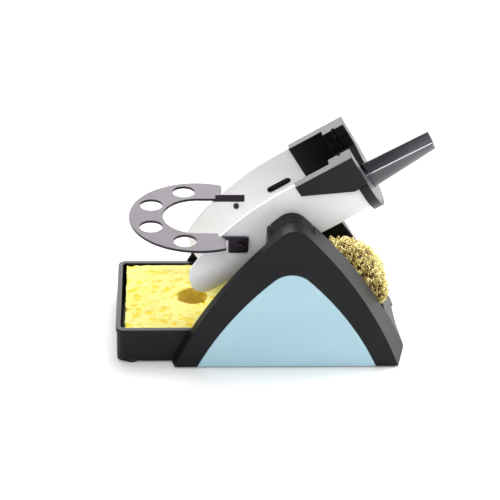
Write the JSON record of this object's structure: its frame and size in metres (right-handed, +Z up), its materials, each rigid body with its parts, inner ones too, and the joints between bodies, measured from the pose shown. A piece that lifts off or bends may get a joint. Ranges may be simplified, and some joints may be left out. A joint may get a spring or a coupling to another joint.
{
  "type": "soldering iron station",
  "caption": "Soldering iron rest: black A-frames with blue side panels, tilting white trough with collar and tip rack, cleaning sponge in a tray, and brass wool.",
  "frame": {"origin": "middle of the footprint, on the bench", "axes": "+X from the sponge tray towards the handle end of the tilting holder, +Y from the front side panel to the rear one, +Z up"},
  "size_m": [0.177, 0.086, 0.1249],
  "materials": {
    "black_plastic": "fine textured matt",
    "blue_plastic": "smooth satin",
    "white_coat": "smooth satin powder coat",
    "collar_plastic": "heat resistant, fine texture",
    "plate_plastic": "satin",
    "chute_plastic": "glossy",
    "rack_coat": "dark satin coat",
    "screw_steel": "dark zinc",
    "pin_steel": "ground",
    "bush_brass": "turned",
    "ballast_iron": "raw",
    "foot_rubber": "matt",
    "sponge_foam": "open-pored cellulose",
    "wool_brass": "fine coiled wire"
  },
  "bodies": {
    "base": {"base_bridge": "black_plastic", "side_frame_front": "black_plastic", "side_frame_rear": "black_plastic", "side_panel_front": "blue_plastic", "side_panel_rear": "blue_plastic", "pivot_cap_front": "black_plastic", "pivot_cap_rear": "black_plastic", "pivot_bushes": "bush_brass", "frame_screws": "screw_steel", "ballast_bars": "ballast_iron", "base_feet": "foot_rubber"},
    "holder": {"holder_trough": "white_coat", "collar_insert": "collar_plastic", "collar_plate": "plate_plastic", "handle_chute": "chute_plastic", "collar_screws": "screw_steel", "pivot_pins": "pin_steel", "friction_washers": "pin_steel", "tip_rack": "rack_coat", "rack_screws": "screw_steel"},
    "tray": {"sponge_tray": "black_plastic", "tray_feet": "foot_rubber", "sponge": "sponge_foam"},
    "cup": {"wool_cup": "black_plastic", "wire_wool": "wool_brass"}
  },
  "joints": [
    {"name": "holder_tilt", "type": "hinge", "parent": "base", "child": "holder", "pos_m": [0.00824, 0, 0.073], "axis": [0, 1, 0], "range_deg": [-1.5, 14]},
    {"name": "tray_slide", "type": "slide", "parent": "base", "child": "tray", "axis": [-1, 0, 0], "range_m": [0, 0.085]},
    {"name": "cup_slide", "type": "slide", "parent": "base", "child": "cup", "axis": [1, 0, 0], "range_m": [0, 0.085]}
  ]
}
